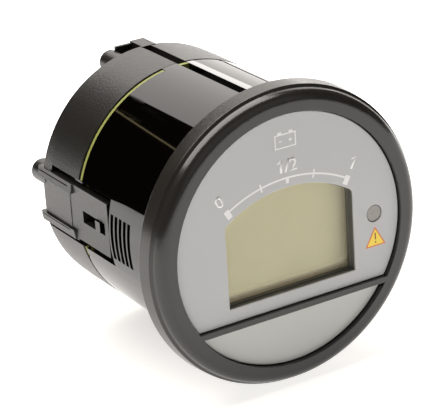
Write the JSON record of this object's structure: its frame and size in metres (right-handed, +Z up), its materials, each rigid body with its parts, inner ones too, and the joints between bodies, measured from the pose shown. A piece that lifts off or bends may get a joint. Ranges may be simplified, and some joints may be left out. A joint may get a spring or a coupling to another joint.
{
  "type": "battery gauge",
  "caption": "Round panel gauge with an arched display window, charge scale, half-moon mode button, gloss barrel, sealed rear cap and rear connector.",
  "frame": {"origin": "on the gauge's axis, in the plane where the bezel's rear face meets the panel", "axes": "+Y along the axis, rearwards from the dial; +X to the right as the dial is read; +Z up"},
  "size_m": [0.0602, 0.0567, 0.0602],
  "materials": {
    "bezel_black": "fine spark-eroded texture, satin",
    "dial_grey": "satin printed film, light grey",
    "frame_dark": "satin olive grey",
    "window_clear": "clear hard-coated lens",
    "display_glass": "reflective LCD, pale khaki",
    "reflector_white": "white",
    "elastomer": "pink silicone with dark layers",
    "pipe_clear": "smoked translucent",
    "button_grey": "satin moulded grey",
    "component_black": "epoxy moulding",
    "board_green": "green solder mask",
    "can_metal": "drawn can",
    "component_tan": "ceramic chip",
    "screw_steel": "zinc plated",
    "pillar_brass": "turned brass",
    "socket_white": "natural nylon",
    "ribbon_grey": "flat flexible cable",
    "barrel_gloss_black": "polished moulding",
    "seal_lime": "lime silicone",
    "cap_black": "coarse spark-eroded texture",
    "connector_black": "black nylon",
    "pin_tin": "tin plated"
  },
  "bodies": {
    "housing": {"bezel": "bezel_black", "faceplate": "dial_grey", "display_frame": "frame_dark", "window_lens": "window_clear", "lcd_cell": "display_glass", "lcd_reflector": "reflector_white", "zebra_strips": "elastomer", "light_pipe": "pipe_clear", "indicator_led": "reflector_white", "tact_switch": "component_black", "main_board": "board_green", "processor_chip": "component_black", "driver_chip": "component_black", "crystal": "can_metal", "chip_passives": "component_tan", "frame_screws": "screw_steel", "board_pillars": "pillar_brass", "pillar_screws": "screw_steel", "power_board": "board_green", "smoothing_capacitors": "can_metal", "power_inductor": "component_black", "voltage_regulator": "component_black", "surge_suppressor": "component_black", "ribbon_sockets": "socket_white", "ribbon_cable": "ribbon_grey", "front_housing": "barrel_gloss_black", "sealing_gasket": "seal_lime", "rear_cap": "cap_black", "connector_shroud": "connector_black", "connector_pins": "pin_tin", "connector_seal": "seal_lime"},
    "mode_button": {"mode_button": "button_grey"},
    "switch_plunger": {"switch_plunger": "component_black"}
  },
  "joints": [
    {"name": "mode_button_press", "type": "slide", "parent": "housing", "child": "mode_button", "axis": [0, 1, 0], "range_m": [0, 0.0006], "stiffness_N_per_m": 1500, "springref_m": -0.0006},
    {"name": "switch_plunger_press", "type": "slide", "parent": "housing", "child": "switch_plunger", "axis": [0, 1, 0], "range_m": [0, 0.0006]}
  ],
  "couplings": [
    {"joint": "switch_plunger_press", "follows": "mode_button_press", "ratio": 1}
  ]
}
